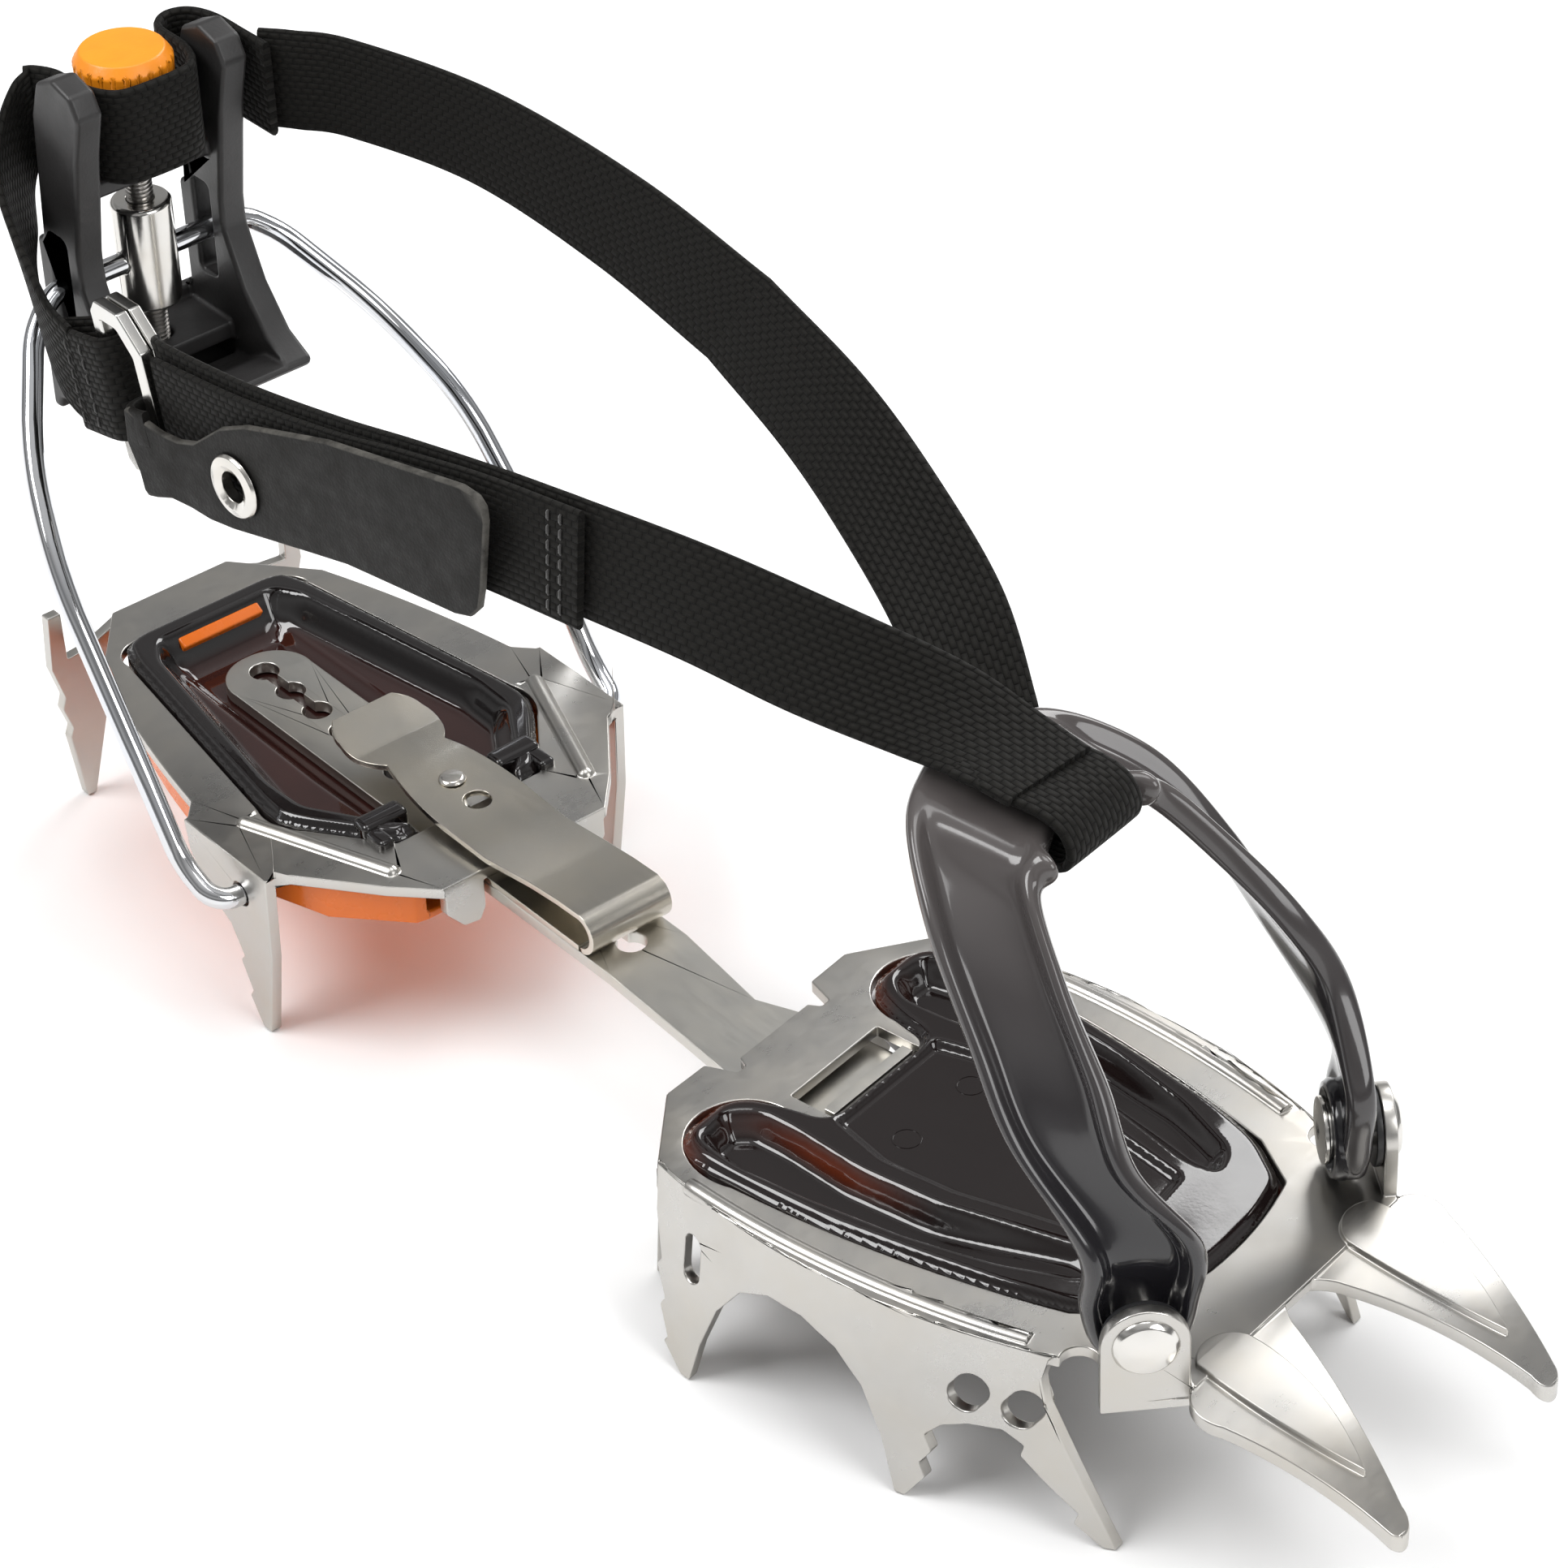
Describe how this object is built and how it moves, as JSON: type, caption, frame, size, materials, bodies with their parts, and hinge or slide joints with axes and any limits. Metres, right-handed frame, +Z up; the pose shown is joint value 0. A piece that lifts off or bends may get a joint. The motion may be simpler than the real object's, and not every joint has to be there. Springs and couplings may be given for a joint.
{
  "type": "crampon",
  "caption": "Toothed steel crampon with snow guards, hinged plastic toe bail, wire heel bail with screw-adjusted lever, and ankle strap.",
  "frame": {"origin": "centre of the bounding box's bottom face; the down points' tips stand on it", "axes": "+X forward along the heel section towards the toe points, +Z up, +Y to the side of the far strap; the front section is turned 10.8 degrees towards +Y"},
  "size_m": [0.3274, 0.1037, 0.1555],
  "materials": {
    "steel_plate": "satin",
    "steel_bar": "satin",
    "spring_steel": "polished",
    "wire_steel": "polished",
    "small_steel": "polished",
    "ring_steel": "polished",
    "amber_guard": "glossy translucent dark brown",
    "smoke_guard": "glossy",
    "orange_guard": "glossy translucent orange",
    "smoke_bail": "translucent smoke grey",
    "lever_plastic": "moulded",
    "knob_plastic": "moulded",
    "webbing": "woven nylon",
    "tab_leather": "matte, worn grey edge"
  },
  "bodies": {
    "frame": {"front_plate": "steel_plate", "front_guard": "amber_guard", "bail_rivets": "small_steel", "bail_washers": "small_steel", "center_bar": "steel_bar", "heel_plate": "steel_plate", "heel_guard": "smoke_guard", "heel_guard_base": "orange_guard", "clip_leaf": "spring_steel", "strap_far_front": "webbing", "strap_near_front": "webbing", "strap_far_rear": "webbing", "strap_near_rear": "webbing", "strap_tail": "webbing"},
    "toe_bail": {"toe_bail": "smoke_bail", "bail_wrap": "webbing"},
    "clip": {"clip_tab": "spring_steel", "clip_stud": "small_steel"},
    "heel_wire": {"heel_wire": "wire_steel"},
    "barrel_nut": {"barrel_nut": "small_steel"},
    "heel_lever": {"heel_lever": "lever_plastic", "post_strap": "webbing", "rear_strap": "webbing", "ring_loop": "webbing"},
    "adjuster": {"adjuster_knob": "knob_plastic", "adjuster_screw": "small_steel", "screw_nut": "small_steel"},
    "d_rings": {"d_ring_outer": "ring_steel", "d_ring_inner": "ring_steel"},
    "pull_tab": {"pull_tab": "tab_leather", "tab_eyelet": "small_steel"}
  },
  "joints": [
    {"name": "toe_bail_hinge", "type": "hinge", "parent": "frame", "child": "toe_bail", "pos_m": [0.12016, 0.01515, 0.045], "axis": [-0.1874, 0.9823, 0], "range_deg": [-8, 10], "deforming": ["strap_far_front", "strap_near_front"]},
    {"name": "clip_hinge", "type": "hinge", "parent": "frame", "child": "clip", "pos_m": [-0.0213, -0.00385, 0.0369], "axis": [0, 1, 0], "range_deg": [0, 8], "stiffness_Nm_per_rad": 3},
    {"name": "heel_wire_hinge", "type": "hinge", "parent": "frame", "child": "heel_wire", "pos_m": [-0.0793, -0.00385, 0.0285], "axis": [0, 1, 0], "range_deg": [-30, 10], "deforming": ["strap_far_rear", "strap_near_rear", "strap_tail"]},
    {"name": "nut_hinge", "type": "hinge", "parent": "heel_wire", "child": "barrel_nut", "pos_m": [-0.1523, -0.00385, 0.112], "axis": [0, 1, 0], "range_deg": [-8, 8]},
    {"name": "lever_slide", "type": "slide", "parent": "barrel_nut", "child": "heel_lever", "axis": [0, 0, 1], "range_m": [-0.003, 0.003]},
    {"name": "knob_turn", "type": "hinge", "parent": "heel_lever", "child": "adjuster", "pos_m": [-0.1523, -0.00385, 0.112], "axis": [0, 0, 1], "range_deg": [-1350, 1350]},
    {"name": "rings_swing", "type": "hinge", "parent": "heel_lever", "child": "d_rings", "pos_m": [-0.11814, -0.03125, 0.11197], "axis": [-0.2419, 0, 0.9703], "range_deg": [-4, 0]},
    {"name": "tab_swing", "type": "hinge", "parent": "d_rings", "child": "pull_tab", "pos_m": [-0.10746, -0.03125, 0.11463], "axis": [0.2419, 0, -0.9703], "range_deg": [0, 20]}
  ],
  "couplings": [
    {"joint": "knob_turn", "follows": "lever_slide", "rad_per_m": 7854}
  ]
}
